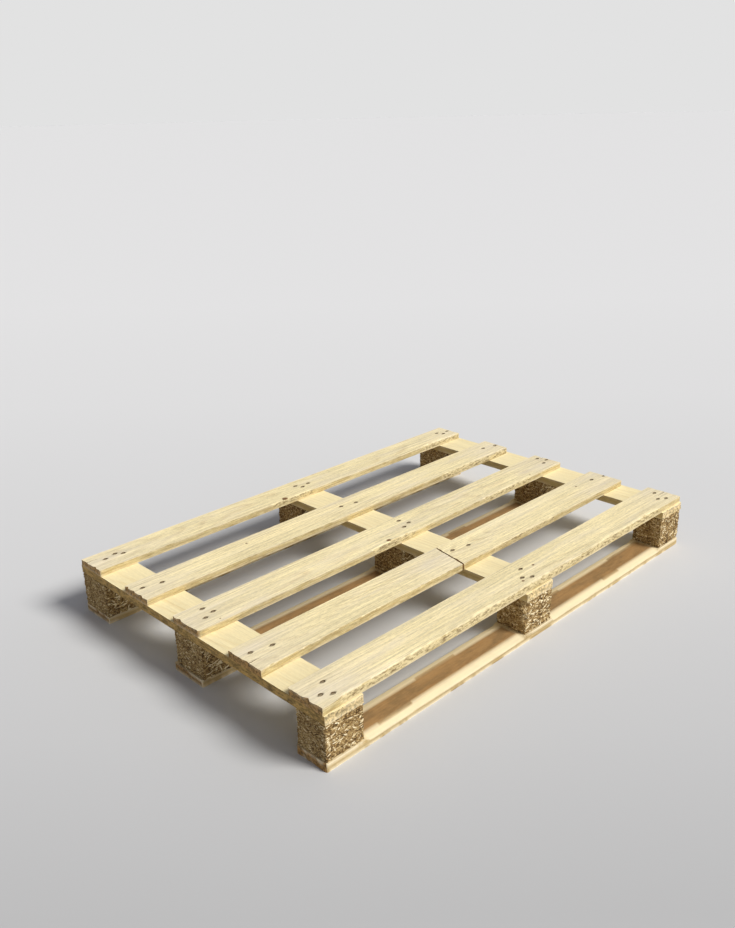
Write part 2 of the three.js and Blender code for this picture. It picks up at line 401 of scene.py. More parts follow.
def knot_heart(s):
    return s.mix(s.step(s.noise((300, 300, 60), 3.0), 0.35, 0.7), KNOT_DARK, KNOT_PALE)


def bark_tone(s):
    return s.mix(s.step(s.noise((80, 260, 260), 5.0, 0.75), 0.36, 0.58), BARK_DARK, BARK_PALE)


print("tones of sides, ends, knots and bark ready")

# %% [markdown]
# ## The wood itself
#
# Now the layers come together: rings and grain first, then weather, sides, knots, bark and
# ends, and last the pale rubbed edges, the nail stains and a painted shade on the walls
# inside a cut, darkened further by nail stain in the holes. One material could serve every
# board, but each board was sawn from its own log and has its own nails, so each gets a
# material of its own from the same function.


# %% The wood itself
TURNED = (0.5, 0.85)
LOG_SHIFT = 0.37
LATE_STRENGTH = 0.5
KNOT_LOSS_ON_SIDE = 0.7
BARK_COVER = 0.9
RUBBED_TONE = paint("f6e8c6")
STAIN_TONE = paint("54401f")
# Painted shade for the walls inside nail holes and splits, with nail stain in the holes.
CUT_SHADE_TONE = paint("6a5230")


def sawn_wood(
    name, tones, pith, along="X", spacing=3.0, seed=0.0, knots=(), nails=(), ageing=0.5,
    contrast=1.0, ends=PALLET_ENDS, rubbed=0.4,
):
    """Softwood with its grain along X or Y. tones are pale, late, grey, end and side colours."""
    pale, late, grey, end_tone, side_tone = (paint(tone) for tone in tones)
    axis = 0 if along == "X" else 1
    s = Shader(bpy.data.materials.new(name))
    place = s.place
    if along == "Y":
        place = s.add("Mapping", {"Vector": place, "Rotation": (0, 0, -math.pi / 2)}).outputs[0]
    place = s.vector("ADD", place, (seed * LOG_SHIFT, 0, 0))
    facing = s.axes(s.add("NewGeometry").outputs["Normal"])
    side_face = s.step(s.math("ABSOLUTE", facing[1 - axis]), *TURNED)
    end_face = s.step(s.math("ABSOLUTE", facing[axis]), *TURNED)

    radius, core = knotted(s, ring_distance(s, place, pith), knots)
    patch = s.step(s.noise((2.5, 16, 16), 3.0, place=place), 0.3, 0.75)
    dark = s.math("MULTIPLY", late_wood(s, radius, spacing), patch)
    fibre, streak, shade = grain_shade(s, place, contrast)
    colour = s.times(s.mix(s.math("MULTIPLY", dark, LATE_STRENGTH), pale, late), shade)

    greyed = s.times(grey, s.grey(s.line(streak, 0.5, 1.0)))
    weather = weathering(s, place, axis, ends, ageing, s.step(facing[2], *UPWARD))
    colour = s.mix(weather, colour, greyed)
    colour = s.mix(side_face, colour, sawn_side(s, place, colour, side_tone, contrast))
    core = s.math("MULTIPLY", core, s.rest_of(s.math("MULTIPLY", side_face, KNOT_LOSS_ON_SIDE)))
    colour = s.mix(core, colour, knot_heart(s))
    bark = s.math("MULTIPLY", s.step(s.attribute("wane"), 0.02, 0.45), BARK_COVER)
    colour = s.mix(bark, colour, bark_tone(s))
    colour = s.mix(end_face, colour, sawn_end(s, end_tone))
    colour = s.mix(s.math("MULTIPLY", s.attribute("worn"), rubbed), colour, RUBBED_TONE)
    if nails:
        colour = s.mix(stained(s, nails, streak), colour, STAIN_TONE)
    # Painted shade inside nail holes and splits, darkened further by the nail's stain.
    colour = s.mix(s.attribute("raw"), colour, CUT_SHADE_TONE)

    height = s.math("ADD", s.math("MULTIPLY", fibre, 0.8), s.math("MULTIPLY", streak, 0.6))
    height = s.math("ADD", height, s.math("MULTIPLY", dark, 0.25))
    return s, colour, s.line(fibre, 0.66, 0.22), height


print("sawn wood ready")

# %% [markdown]
# ## Chip wood
#
# The blocks are wood chips and glue pressed hard into a bar and sawn to length. Each chip
# catches the light in its own way, so every one carries a random tone as a face attribute,
# and between the chips the glue and dust stay darker.


# %% Chip wood
CHIP_STOPS = ((0.05, "4c3820"), (0.32, "947649"), (0.6, "c2a671"), (0.9, "fbecc6"))
CHIP_SWIRL = 20 * MM
CELLS_IN_A_METRE = 260.0


def chip_wood(name):
    """Pressed chips: a tone for each, with cells and specks inside it."""
    s = Shader(bpy.data.materials.new(name))
    where = s.vector("ADD", s.place, jitter(s, s.place, (40, 40, 40), (CHIP_SWIRL,) * 3))
    flat = s.vector("MULTIPLY", where, (1, 1, 2.0))
    cells = s.add("TexVoronoi", {"Vector": flat, "Scale": CELLS_IN_A_METRE})
    cell = s.axes(cells.outputs["Color"])[0]
    fine = s.noise((700, 700, 700), 3.0, 0.6)
    broad = s.noise((25, 25, 25), 3.0)
    value = s.sway(s.attribute("chip"), (cell, 0.45), (fine, 0.5), (broad, 0.35))
    colour = s.ramp(value, *((position, paint(code)) for position, code in CHIP_STOPS))
    height = s.math("ADD", s.math("MULTIPLY", fine, 0.5), s.math("MULTIPLY", cell, 0.6))
    return s.finish(colour, 0.88, height, depth=1.4 * MM, specular=0.2)


chips = chip_wood("chip_block")
print("chip wood in", len(CHIP_STOPS), "tones")

# %% [markdown]
# ## Nail steel
#
# The nails are plain steel wire. It could be bright metal, but a head that has lain in the
# rain is dull and brown, so hardly any of the metal's shine is left in the shader, and a
# rougher rust lies over it in patches.


# %% Nail steel
STEEL_TONE, RUST_TONE = paint("a3967a"), paint("80643f")


def dull_steel(name):
    s = Shader(bpy.data.materials.new(name))
    s.surface.inputs["Metallic"].default_value = 0.1
    rust = s.step(s.noise((500, 500, 500), 4.0, 0.6), 0.42, 0.66)
    colour = s.mix(rust, STEEL_TONE, RUST_TONE)
    return s.finish(colour, s.line(rust, 0.45, 0.4), rust, depth=0.1 * MM)


steel = dull_steel("nail_steel")
print("nail steel ready")

# %% [markdown]
# ## From a bmesh to a piece
#
# Every piece ends the same way. Its bmesh becomes a mesh, flat-looking faces stay crisp and
# rounded ones are shaded smooth, holes are cut with a Boolean modifier that is applied at
# once, and the piece takes the place of its node and rides on the pallet's one body.


# %% From a bmesh to a piece
SHARP_ANGLE = math.radians(38)


def link_mesh(bm, name):
    mesh = bpy.data.meshes.new(name)
    bm.to_mesh(mesh)
    bm.free()
    piece = bpy.data.objects.new(name, mesh)
    bpy.context.collection.objects.link(piece)
    return piece


def mark_faces(bm, layer_name, value):
    """Gives every face the same number, which a material can read."""
    layer = bm.faces.layers.float.new(layer_name)
    for face in bm.faces:
        face[layer] = value


def cut_away(piece, cutter):
    """Takes the cutter's shape out of the piece, and removes the cutter."""
    boolean = piece.modifiers.new("cut", "BOOLEAN")
    boolean.object = cutter
    boolean.operation = "DIFFERENCE"
    boolean.solver = "MANIFOLD"
    seen = piece.evaluated_get(bpy.context.evaluated_depsgraph_get())
    mesh = bpy.data.meshes.new_from_object(seen)
    piece.modifiers.clear()
    piece.data = mesh
    bpy.data.objects.remove(cutter)


def finish_piece(bm, name, material, node=None, cutter=None):
    if cutter is not None:
        # Faces that the cutter leaves, inside nail holes and splits, get painted shade.
        mark_faces(bm, "raw", 0.0)
        mark_faces(cutter, "raw", 1.0)
    piece = link_mesh(bm, name)
    if cutter is not None:
        cut_away(piece, link_mesh(cutter, name + "_cutter"))
    piece.data.materials.clear()
    piece.data.materials.append(material)
    piece.data.shade_smooth()
    piece.data.set_sharp_from_angle(angle=SHARP_ANGLE)
    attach(piece, "root")
    if node:
        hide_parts(node)
    return piece


def place_of(node):
    """The middle of a node and half its size, as two vectors."""
    low, high = (Vector(corner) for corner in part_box(node))
    return (low + high) / 2, (high - low) / 2


print("edges sharper than", round(math.degrees(SHARP_ANGLE)), "degrees stay crisp")

# %% [markdown]
# ## A worked board
#
# A board starts as a cube, scaled to its node and sliced into a fine grid, with the slices
# close together at the edges and ends, where the wear is. A displacement texture could rough
# it up, but it would swell the board too. The vertices are moved one by one instead, as a
# saw, a tree and some years of knocks would move them. Nearly every move takes wood away, so
# the board keeps to its node's box.


# %% A worked board
EDGE_SLICES = (0.6 * MM, 1.8 * MM, 3.6 * MM, 6.5 * MM, 10 * MM, 15 * MM)
END_SLICES = (0.7 * MM, 2 * MM, 4 * MM)
LONG_STEP = 5.5 * MM
CROSS_STEP = 9 * MM


def edges_along(edges, axis):
    return [e for e in edges if abs(e.verts[0].co[axis] - e.verts[1].co[axis]) > 1e-6]


def from_sides(half, cuts):
    """Places that lie the given depths in from both sides."""
    return [side * (half - cut) for cut in cuts for side in (-1, 1)]


def slice_box(bm, axis, cuts):
    """Slices everything by planes across an axis at the given places."""
    direction = [0, 0, 0]
    direction[axis] = 1
    for cut in cuts:
        point = [0, 0, 0]
        point[axis] = cut
        everything = bm.verts[:] + bm.edges[:] + bm.faces[:]
        bmesh.ops.bisect_plane(bm, geom=everything, dist=1e-7, plane_co=point, plane_no=direction)


def sliced_board(half, along):
    bm = bmesh.new()
    bmesh.ops.create_cube(bm, size=2)
    bmesh.ops.scale(bm, vec=half, verts=bm.verts)
    across = 1 - along
    inner = half[across] - EDGE_SLICES[-1]
    steps = max(2, round(2 * inner / CROSS_STEP))
    middle = [-inner + 2 * inner * i / steps for i in range(1, steps)]
    slice_box(bm, across, from_sides(half[across], EDGE_SLICES) + middle)
    slice_box(bm, 2, from_sides(half.z, EDGE_SLICES[:2]) + [0])
    lengthwise = edges_along(bm.edges, along)
    steps = int(2 * half[along] / LONG_STEP)
    bmesh.ops.subdivide_edges(bm, edges=lengthwise, cuts=steps, use_grid_fill=True)
    slice_box(bm, along, from_sides(half[along], END_SLICES))
    return bm


def ease(value, low, high):
    """0 below low, 1 above high and smooth between them."""
    t = min(1.0, max(0.0, (value - low) / (high - low)))
    return t * t * (3 - 2 * t)


def round_off(a, b, half_a, half_b, radius):
    """Moves a point that lies outside a rounded corner of a rectangle onto it."""
    da = abs(a) - (half_a - radius)
    db = abs(b) - (half_b - radius)
    reach = math.hypot(da, db)
    if da <= 0 or db <= 0 or reach <= radius:
        return a, b
    shrink = radius / reach
    a = math.copysign(half_a - radius + da * shrink, a)
    b = math.copysign(half_b - radius + db * shrink, b)
    return a, b


print("boards are sliced every", round(LONG_STEP / MM, 1), "mm along")

# %% [markdown]
# ## Wear
#
# A point of a board is said by how far it lies along the board, across it and up: u, t and w.
# A wane slopes the top edge away where the tree was round. The ends are torn, the sides
# wander, the top is ridged and the corners are rounded, all by smooth noises, which give the
# same board in each run.


# %% Wear
WANE_FADE_IN = 30 * MM
WANE_FADE_OUT = 20 * MM
FULL_BARK_WIDTH = 8 * MM
SIDE_ROAM = 0.7 * MM
END_TEAR = 1.3
END_BITE = 9
END_DEPTH = 7 * MM
RIDGE_DEPTH = 0.28 * MM
RUB_INNER = 1 * MM
RUB_OUTER = 3 * MM
CORNER_RADIUS = 2 * MM
SLANT_REACH = 80 * MM


def wane_at(u, t, w, half, across, seed, wane):
    """How much a strip of missing edge takes from a point, as (inward, downward, bark)."""
    wane_side, start, stop, width, drop = wane
    if math.copysign(1, t) != wane_side:
        return 0.0, 0.0, 0.0
    slow, quick = noise.noise((u * 9, seed, 2)), noise.noise((u * 60, seed, 4))
    local = width * (0.7 + 0.6 * slow + 0.5 * quick)
    local *= ease(u, start, start + WANE_FADE_IN) * (1 - ease(u, stop - WANE_FADE_OUT, stop))
    share = max(0.0, 1 - (half[across] - abs(t)) / max(local, 0.1 * MM))
    share *= ease(w, -half.z, half.z)
    rough = 1 + 0.7 * noise.noise((u * 120, t * 300, seed))
    bark = share * min(1.0, width / FULL_BARK_WIDTH) ** 2
    return 0.3 * drop * share * rough, drop * share**0.7 * rough, bark


def torn(u, t, w, half, along, seed):
    """A point with the board's side wandering, its end torn and its top ridged."""
    across = 1 - along
    side, end = math.copysign(1, t), math.copysign(1, u)
    roam = noise.noise((u * 5, side * 7 + seed, 0)) + 0.5 * noise.noise((u * 28, side * 7 + seed, 3))
    t -= side * (SIDE_ROAM * (1 + roam)) * (abs(t) / half[across]) ** 4
    tear = noise.noise((t * 260, w * 200, seed + 11 * end))
    tear += noise.noise((t * 60, w * 30, seed + 5 * end))
    bite = max(0.0, noise.noise((t * 75, seed, end * 3)) - 0.15) * END_BITE * ease(w, -half.z, half.z)
    depth = ease(abs(u), half[along] - END_DEPTH, half[along])
    u -= end * MM * (END_TEAR + END_TEAR * tear + bite) * depth
    ridge = noise.noise((u * 9, t * 30, seed)) + 0.7 * noise.noise((u * 6, t * 240, seed))
    w -= (w > half.z - MM) * RIDGE_DEPTH * (1.2 + ridge)
    return u, t, w


def rubbed_at(u, t, w, half, along, seed):
    """How pale a point is rubbed: most on the edges, and in patches."""
    gaps = sorted((half[along] - abs(u), half[1 - along] - abs(t), half.z - abs(w)))
    side = math.copysign(1, t)
    patchy = noise.noise((u * 22, side * 9 + seed, w * 60)) + 0.5 * noise.noise((u * 90, t * 90, seed))
    return (1 - ease(gaps[1], RUB_INNER, RUB_OUTER)) * ease(patchy, -0.5, 0.1)


def wear_board(bm, half, along, seed, wanes, corners, arris, slant):
    """Moves the board's vertices. Corners are rounded in plan by the radius of each (end, side)."""
    across = 1 - along
    wane_layer = bm.verts.layers.float.new("wane")
    worn_layer = bm.verts.layers.float.new("worn")
    slant_end, cut_low, cut_high = slant
    for vert in bm.verts:
        u, t, w = vert.co[along], vert.co[across], vert.co.z
        side, end = math.copysign(1, t), math.copysign(1, u)
        u, t, w = torn(u, t, w, half, along, seed)
        for wane in wanes:
            inward, down, bark = wane_at(u, t, w, half, across, seed, wane)
            t, w = t - side * inward, w - down
            vert[wane_layer] = max(vert[wane_layer], bark)
        vert[worn_layer] = rubbed_at(u, t, w, half, along, seed)
        plan_radius = corners.get((end, side), CORNER_RADIUS)
        u, t = round_off(u, t, half[along], half[across], plan_radius)
        soft = arris * (1 + 0.8 * noise.noise((u * 14, t * 14, seed + w * 90)))
        t, w = round_off(t, w, half[across], half.z, soft)
        u, w = round_off(u, w, half[along], half.z, soft * 1.3)
        if end == slant_end:
            cut = cut_low + (cut_high - cut_low) * (1 + t / half[across]) / 2
            u -= end * cut * ease(abs(u), half[along] - SLANT_REACH, half[along])
        vert.co[along], vert.co[across], vert.co.z = u, t, w


def worked_board(
    middle, half, along, seed, wanes=(), corners=None, arris=1.3 * MM, slant=(0, 0, 0),
):
    bm = sliced_board(half, along)
    wear_board(bm, half, along, seed, wanes, corners or {}, arris, slant)
    bmesh.ops.translate(bm, vec=middle, verts=bm.verts)
    return bm


print("ends are worn over", round(END_DEPTH / MM), "mm")

# %% [markdown]
# ## Nail holes and splits
#
# A nail gun drives the head a little below the deck and crushes a shallow funnel round it.
# Cones with ragged rims make those funnels, and thin wedges the splits that drying and
# nailing open at a board's end. They go together into one cutter for each board.


# %% Nail holes and splits
HEAD_RADIUS = 4 * MM
HEAD_SINK = 1.2 * MM
HEAD_THICKNESS = 1.5 * MM
FUNNEL_LIP = 1.5 * MM
FUNNEL_FLARE = 1.1
FUNNEL_SIDES = 20
FUNNEL_STRETCH = 1.15
SPLIT_STEPS = 10
SPLIT_OVERRUN = 2 * MM
SPLIT_DEPTH = 9 * MM


def turn_faces(bm, verts):
    bmesh.ops.reverse_faces(bm, faces=list({face for vert in verts for face in vert.link_faces}))


def add_funnel(bm, x, y, surface, seed, up=1):
    """A ragged cone round a nail at (x, y), from the wood's surface to under the nail's head."""
    deep = HEAD_SINK + HEAD_THICKNESS
    flip = Matrix.Scale(up, 4, (0, 0, 1))
    middle = Matrix.Translation((x, y, surface + up * (FUNNEL_LIP - deep) / 2))
    made = bmesh.ops.create_cone(
        bm, cap_ends=True, segments=FUNNEL_SIDES, radius1=HEAD_RADIUS,
        radius2=HEAD_RADIUS * FUNNEL_FLARE, depth=deep + FUNNEL_LIP, matrix=middle @ flip,
    )
    if up < 0:
        turn_faces(bm, made["verts"])
    for vert in made["verts"]:
        angle = math.atan2(vert.co.y - y, vert.co.x - x)
        ragged = 1 + 0.2 * noise.noise((math.cos(angle) * 2, math.sin(angle) * 2, seed))
        vert.co.x = x + (vert.co.x - x) * ragged * FUNNEL_STRETCH
        vert.co.y = y + (vert.co.y - y) * ragged


def add_split(bm, end_x, y, top, length, width, seed):
    """A wedge that is open at a board's end and closes to nothing along the grain."""
    others = set(bm.verts)
    bmesh.ops.create_cube(bm, size=1, matrix=Matrix.Translation((0.5, 0, 0)))
    fresh = [e for e in bm.edges if e.verts[0] not in others]
    bmesh.ops.subdivide_edges(
        bm, edges=edges_along(fresh, 0), cuts=SPLIT_STEPS - 1, use_grid_fill=True,
    )
    wedge = [vert for vert in bm.verts if vert not in others]
    inward = -math.copysign(1, end_x)
    for vert in wedge:
        along, side, up = vert.co
        closing = (1 - along) ** 0.7
        crooked = 3 * MM * noise.noise((along * 5, seed, 0))
        crooked += 0.8 * MM * noise.noise((along * 21, seed, 7))
        vert.co.x = end_x - inward * SPLIT_OVERRUN + inward * along * length
        vert.co.y = y + side * width * closing + crooked * min(1, along * 3)
        vert.co.z = top + (1 * MM if up > 0 else -SPLIT_DEPTH * (0.25 + 0.75 * closing))
    if inward < 0:
        turn_faces(bm, wedge)


def nail_head(node):
    """The middle of a nail's head, from the highest points of its CAD node."""
    points = [v.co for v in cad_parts[node].data.vertices]
    top = max(p.z for p in points)
    head = [p for p in points if p.z > top - 0.05 * MM]
    return sum(head, Vector()) / len(head)


NAILS = {node: nail_head(node) for node in sorted(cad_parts) if node.startswith("nail_")}
print(len(NAILS), "nails in the deck")

# %% [markdown]
# ## What each deck board is like
#
# Six lengths of rough softwood, greyed on top. Each has its own log, knots and damage, so
# they stand in a table. Knots (x, y, radius) and splits (end, y, length, width) are in
# millimetres from the pallet's middle. A wane is its side of the board, where it starts and
# stops along the pallet, how wide it is and how far it drops.

# %% What each deck board is like
DECK_TONES = ("f0e0b0", "c2a574", "e4d8c2", "a4804c", "dedacb")
BUTT_PLACE = -36 * MM
BUTT_SLANT = 18 * MM
DECK = {
    "deck_board_1": dict(
        pith=(0.36, -0.05, 0.03), seed=1.0, knots=[(-75, 322, 7)],
        wanes=[(-1, -0.13, 0.02, 7 * MM, 3 * MM), (-1, 0.42, 0.64, 9 * MM, 5 * MM)],
        corners={(-1, -1): 6 * MM, (1, -1): 9 * MM}, splits=[(-1, 371, 30, 2.0)],
    ),
    "deck_board_2": dict(
        pith=(0.10, -0.09, -0.05), seed=2.0, knots=[(-300, 190, 2.5)],
        wanes=[(-1, 0.3, 0.64, 10 * MM, 5 * MM)], corners={(-1, 1): 5 * MM, (1, -1): 14 * MM},
        splits=[(1, 168, 40, 2.0)],
    ),
    "deck_board_3": dict(
        pith=(-0.01, -0.035, 0.02), seed=3.0,
        knots=[(-540, -36, 1.5), (470, -34, 2), (-70, -36, 5)],
        wanes=[(-1, -0.14, 0.01, 9 * MM, 5 * MM), (-1, 0.25, 0.47, 7 * MM, 4 * MM)],
        corners={(-1, -1): 15 * MM, (-1, 1): 6 * MM, (1, -1): 9 * MM},
        splits=[(1, 12, 30, 1.8)],
    ),
    "deck_board_4_near": dict(
        pith=(-0.25, -0.12, 0.06), seed=4.0, corners={(1, -1): 6 * MM},
        splits=[(-1, -200, 32, 2.0)], slant=(1, BUTT_SLANT, 0),
        ends=(PALLET_ENDS[0], BUTT_PLACE), wanes=[(-1, -0.6, -0.05, 3.5 * MM, 5 * MM)],
    ),
    "deck_board_4_far": dict(
        pith=(-0.17, -0.07, -0.04), seed=5.0, knots=[(480, -170, 2.5)],
        wanes=[(-1, 0.05, 0.3, 6 * MM, 2.5 * MM)], corners={(1, -1): 6 * MM}, slant=(-1, 0, BUTT_SLANT),
    ),
    "deck_board_5": dict(
        pith=(-0.42, -0.04, 0.02), seed=6.0,
        knots=[(-20, -372, 3), (52, -345, 3)],
        wanes=[(-1, -0.57, 0.5, 8 * MM, 5 * MM)], corners={(-1, 1): 6 * MM, (-1, -1): 2 * MM},
        splits=[(1, -352, 40, 2.0)],
    ),
}
print(len(DECK), "lengths of deck board")

# %% [markdown]
# ## Deck boards
#
# Each length is worn, moved to its node's place and cut by its own funnels and splits. The
# cuts could be made one by one, but a single cutter of closed shapes is quicker and cleaner.


# %% Deck boards
DECK_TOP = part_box("deck_board_3")[1][2]


def deck_cutter(middle, half, spec, nails):
    """The funnels and splits of one deck board, as one set of closed shapes."""
    bm = bmesh.new()
    for end, y, length, width in spec.get("splits", ()):
        end_x = middle.x + end * half.x
        add_split(bm, end_x, y * MM, DECK_TOP, length * MM, width * MM, spec["seed"])
    for head in nails:
        add_funnel(bm, head.x, head.y, DECK_TOP, head.x * 40)
    return bm


def over(middle, half, point):
    return abs(point.x - middle.x) < half.x and abs(point.y - middle.y) < half.y


for node, spec in DECK.items():
    middle, half = place_of(node)
    nails = [head for head in NAILS.values() if over(middle, half, head)]
    s, colour, rough, height = sawn_wood(
        node + "_wood", DECK_TONES, spec["pith"], seed=spec["seed"],
        knots=[(x * MM, y * MM, size * MM) for x, y, size in spec.get("knots", ())],
        nails=[(head.x, head.y) for head in nails], ends=spec.get("ends", PALLET_ENDS),
    )
    material = s.finish(colour, rough, height, depth=0.9 * MM)
    wanes = [(side, a - middle.x, b - middle.x, *size) for side, a, b, *size in spec.get("wanes", ())]
    slant = spec.get("slant", (0, 0, 0))
    bm = worked_board(middle, half, 0, spec["seed"], wanes, spec["corners"], slant=slant)
    cutter = deck_cutter(middle, half, spec, nails)
    piece = finish_piece(bm, node + "_piece", material, node, cutter)
    print(node, len(piece.data.polygons), "faces,", len(nails), "nails")

# %% [markdown]
# ## Stringer boards
#
# These three run across under the deck. They are planed smoother and have seen less sun, so
# they keep the yellow of fresh pine. They could share the deck's paint, but the yellow under
# the grey is what tells the two layers apart. Only the long edges that face out are darkened,
# by painted shade and patchy grime.

# %% Stringer boards
STRINGER_TONES = ("f2e2b2", "dcbf82", "e2d5b6", "c0aa7c", "d8ccae")
STRINGERS = {
    "stringer_board_near": dict(pith=(0.62, 0.02, 0.03), seed=11.0),
    "stringer_board_middle": dict(pith=(0.05, 0.04, -0.04), seed=12.0),
    "stringer_board_far": dict(pith=(-0.5, 0.03, 0.05), seed=13.0),
}
OUTWARD = {"stringer_board_near": -1, "stringer_board_far": 1}
# Painted shade, with grime, for the long side that faces out.
SHADE_AND_GRIME_TONE = paint("a98a50")


def shade_and_grime_outside(s, colour, outward):
    """Darkens the long edge that faces out of the pallet with painted shade, and with patchy grime
    where hands and forks reach it.
    """
    x = s.axes(s.add("NewGeometry").outputs["Normal"])[0]
    outer = s.step(s.math("MULTIPLY", x, outward), *TURNED)
    grime = s.step(s.noise((170, 60, 170), 5.0, 0.8), *PATCHY)
    return s.mix(outer, colour, s.times(SHADE_AND_GRIME_TONE, s.grey(s.line(grime, 0.5, 1.0))))


for node, spec in STRINGERS.items():
    middle, half = place_of(node)
    s, colour, rough, height = sawn_wood(
        node + "_wood", STRINGER_TONES, along="Y", spacing=4.2, ageing=0.1, contrast=0.35, **spec,
    )
    # Painted shade with grime on the side that faces out of the pallet.
    if node in OUTWARD:
        colour = shade_and_grime_outside(s, colour, OUTWARD[node])
    material = s.finish(colour, rough, height, depth=0.5 * MM)
    bm = worked_board(middle, half, 1, spec["seed"], arris=0.9 * MM)
    piece = finish_piece(bm, node + "_piece", material, node)
    print(node, len(piece.data.polygons), "faces")

# %% [markdown]
# ## Bottom boards
#
# The bottom boards lie on the floor. Between the blocks their long edges are chamfered, so
# that the wheels of a pallet truck climb them, and the chamfers stop short of each block. A
# cutter could plane them off, but lowering the top points does the same and keeps the grid.
# The two vertex numbers that this leaves colour the fresh cut and the top between the blocks;
# that top gets dust and painted shade, darker as if the deck above shaded it.

# %% Bottom boards
BOTTOM_TONES = ("decba0", "b08a52", "b39a72", "9a7644", "ded6c4")
# Dust and painted shade for the tops between the blocks.
SHADE_DUST_PALE, SHADE_DUST_DARK = paint("a27c4c"), paint("84653c")
MILLED_TONE = paint("f3e5c0")
BOTTOMS = {
    "left": dict(pith=(0.4, -0.06, 0.03), seed=21.0),
    "centre": dict(pith=(0.03, -0.05, -0.03), seed=22.0),
    "right": dict(pith=(-0.31, 0.07, 0.04), seed=23.0),
}
STRINGER_NAMES = ("near", "middle", "far")
BOTTOM_CORNER = 7 * MM
CHAMFER_WIDTH = 15 * MM
CHAMFER_DROP = 5 * MM
CHAMFER_STOP = 2 * MM
RUN_OUT = 6 * MM
BOTTOM_NAILS = ((-21, 17), (23, -14), (4, 25))


def mill_chamfers(bm, middle, half, row):
    """Lowers the long top edges between the blocks, marks what the cutter touched, and marks the top
    between them for dust and painted shade.
    """
    blocks = [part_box(f"block_{stringer}_{row}") for stringer in STRINGER_NAMES]
    spans = [(a[1][0] + CHAMFER_STOP, b[0][0] - CHAMFER_STOP) for a, b in zip(blocks, blocks[1:])]
    top = middle.z + half.z
    milled = bm.verts.layers.float.new("milled")
    dusty = bm.verts.layers.float.new("dusty")
    for vert in bm.verts:
        inset = half.y - abs(vert.co.y - middle.y)
        x = vert.co.x
        run = max(ease(x, a, a + RUN_OUT) * (1 - ease(x, b - RUN_OUT, b)) for a, b in spans)
        level = top - CHAMFER_DROP * max(0.0, 1 - inset / CHAMFER_WIDTH) * run
        vert[milled] = run * (inset < CHAMFER_WIDTH + 0.5 * MM) * (vert.co.z > level - 0.4 * MM)
        inner = ease(inset, CHAMFER_WIDTH - MM, CHAMFER_WIDTH + MM)
        # The top inside the chamfers, between the blocks, gets dust and painted shade.
        vert[dusty] = run * (vert.co.z > top - MM) * inner
        vert.co.z = min(vert.co.z, level)


def bottom_nail_places(row):
    """Three nails under each block of a row, each row and block a little different."""
    rng = random.Random("under " + row)
    places = []
    for stringer in STRINGER_NAMES:
        centre, _ = place_of(f"block_{stringer}_{row}")
        for x, y in BOTTOM_NAILS:
            nail_x = centre.x + (x + rng.uniform(-5, 5)) * MM
            nail_y = centre.y + (y + rng.uniform(-4, 4)) * MM
            places.append((nail_x, nail_y))
    return places


for row, spec in BOTTOMS.items():
    node = "bottom_board_" + row
    middle, half = place_of(node)
    s, colour, rough, height = sawn_wood(
        node + "_wood", BOTTOM_TONES, ageing=0.15, contrast=0.8, rubbed=1.0, **spec,
    )
    # Dust and painted shade: the top between the blocks is darkened and browned as if the deck above
    # shaded it.
    blotch = s.mix(s.step(s.noise((14, 40, 40), 5.0, 0.7), 0.38, 0.66), SHADE_DUST_PALE, SHADE_DUST_DARK)
    dust_and_shade_share = s.math("MULTIPLY", s.attribute("dusty"), 0.9)
    colour = s.mix(dust_and_shade_share, colour, s.mix(0.35, blotch, colour, "MULTIPLY"))
    fresh = s.math("MULTIPLY", s.attribute("milled"), 0.85)
    colour = s.mix(fresh, colour, s.mix(0.15, MILLED_TONE, colour, "MULTIPLY"))
    material = s.finish(colour, rough, height, depth=0.8 * MM)
    corners = {(end, side): BOTTOM_CORNER for end in (-1, 1) for side in (-1, 1)}
    bm = worked_board(middle, half, 0, spec["seed"], corners=corners, arris=1.2 * MM)
    mill_chamfers(bm, middle, half, row)
    holes = bmesh.new()
    for x, y in bottom_nail_places(row):
        add_funnel(holes, x, y, middle.z - half.z, x * 40, up=-1)
    piece = finish_piece(bm, node + "_piece", material, node, holes)
    print(node, len(piece.data.polygons), "faces")

# %% [markdown]
# ## One chip, many times
#
# A pressed block shows hundreds of chips. They could be painted on, but chips that really
# stand proud catch the light. A thousand slivers made one by one would be slow, so one is
# made, and the lot is doubled ten times.


# %% One chip, many times
DOUBLINGS = 10
CHIP_RINGS = 3


def many_chips():
    """A thousand copies of one sliver, all in the same place, each vertex numbered by its chip."""
    bm = bmesh.new()
    number = bm.verts.layers.int.new("number")
    bmesh.ops.create_cube(bm, size=1)
    long_edges = edges_along(bm.edges, 0)
    bmesh.ops.subdivide_edges(bm, edges=long_edges, cuts=CHIP_RINGS - 1, use_grid_fill=True)
    for doubling in range(DOUBLINGS):
        copies = bmesh.ops.duplicate(bm, geom=bm.verts[:] + bm.edges[:] + bm.faces[:])
        for item in copies["geom"]:
            if isinstance(item, bmesh.types.BMVert):
                item[number] += 2**doubling
    return bm


print(2**DOUBLINGS, "chips on each block")


# %% [markdown]
# ## Chips laid on the sides of a block
#
# The chips lie flat on the two pressed sides, long and coarse, and stand upright on the two
# sawn ones, short and fine. A particle system could scatter them. A seeded random series does
# it here with less machinery, and gives the same block each time.


# %% Chips laid on the sides of a block
CHIP_THICKNESS = 0.9 * MM
CHIP_MARGIN = 1.5 * MM
COARSE = dict(length=15, width=3.4, sunk=(0.35, 0.9), tilt=7, turned=0)
FINE = dict(length=10, width=2.4, sunk=(0.5, 0.75), tilt=3, turned=math.pi / 2)


